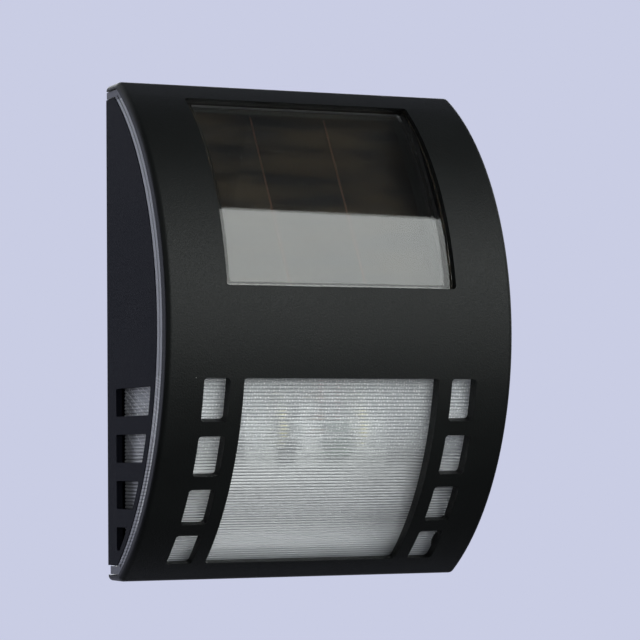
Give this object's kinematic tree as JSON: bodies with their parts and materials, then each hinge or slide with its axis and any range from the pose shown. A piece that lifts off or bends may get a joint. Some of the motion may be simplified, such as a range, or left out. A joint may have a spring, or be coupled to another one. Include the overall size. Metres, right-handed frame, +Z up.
{
  "type": "fence light",
  "caption": "Solar wall light: curved black cover with large and small windows over a clear ribbed body, tilted solar panel, reflector and a flat keyholed back.",
  "frame": {"origin": "middle of the flat back, in the plane of the wall", "axes": "+Z up as it hangs, +Y out of the back into the wall, the front faces -Y, +X to the right as seen from the front"},
  "size_m": [0.111, 0.0545, 0.15],
  "materials": {
    "front_cover": "satin black, fine texture",
    "ribbed_lens": "clear moulded plastic, ribbed below the middle",
    "rear_housing": "satin black",
    "panel_frame": "satin black",
    "panel_pad": "soft foam",
    "solar_backing": "laminate",
    "solar_cells": "dark brown silicon",
    "cell_ribbons": "tinned",
    "solar_encapsulant": "clear resin",
    "reflector": "pale, slightly glossy",
    "led_board": "white solder mask",
    "led_lens": "yellowish clear resin",
    "driver_chip": "moulded",
    "inductor": "lacquered",
    "resistor": "lacquered",
    "battery_cell": "plain sleeve over the can",
    "battery_contact": "nickel plated",
    "battery_spring": "nickel plated",
    "battery_door": "satin black",
    "door_seal": "foam",
    "screws": "zinc plated",
    "switch_body": "plated can",
    "switch_knob": "satin",
    "wire_red": "insulation",
    "wire_black": "insulation"
  },
  "bodies": {
    "light": {"front_cover": "front_cover", "ribbed_lens": "ribbed_lens", "rear_housing": "rear_housing", "panel_frame": "panel_frame", "panel_pad": "panel_pad", "solar_backing": "solar_backing", "solar_cells": "solar_cells", "cell_ribbons": "cell_ribbons", "solar_encapsulant": "solar_encapsulant", "reflector": "reflector", "led_board": "led_board", "led_left": "led_lens", "led_right": "led_lens", "driver_chip": "driver_chip", "inductor": "inductor", "resistor": "resistor", "battery_cell": "battery_cell", "battery_contact": "battery_contact", "battery_spring": "battery_spring", "door_seal": "door_seal", "switch_body": "switch_body", "housing_screws": "screws", "inner_screws": "screws", "solar_wire_red": "wire_red", "solar_wire_black": "wire_black", "battery_wire_red": "wire_red", "battery_wire_black": "wire_black", "switch_wire_red": "wire_red"},
    "door": {"battery_door": "battery_door", "door_screws": "screws"},
    "slider": {"switch_knob": "switch_knob"}
  },
  "joints": [
    {"name": "battery_door_lift", "type": "slide", "parent": "light", "child": "door", "axis": [0, 1, 0], "range_m": [0, 0.02]},
    {"name": "switch_slide", "type": "slide", "parent": "light", "child": "slider", "axis": [1, 0, 0], "range_m": [0, 0.0036]}
  ]
}
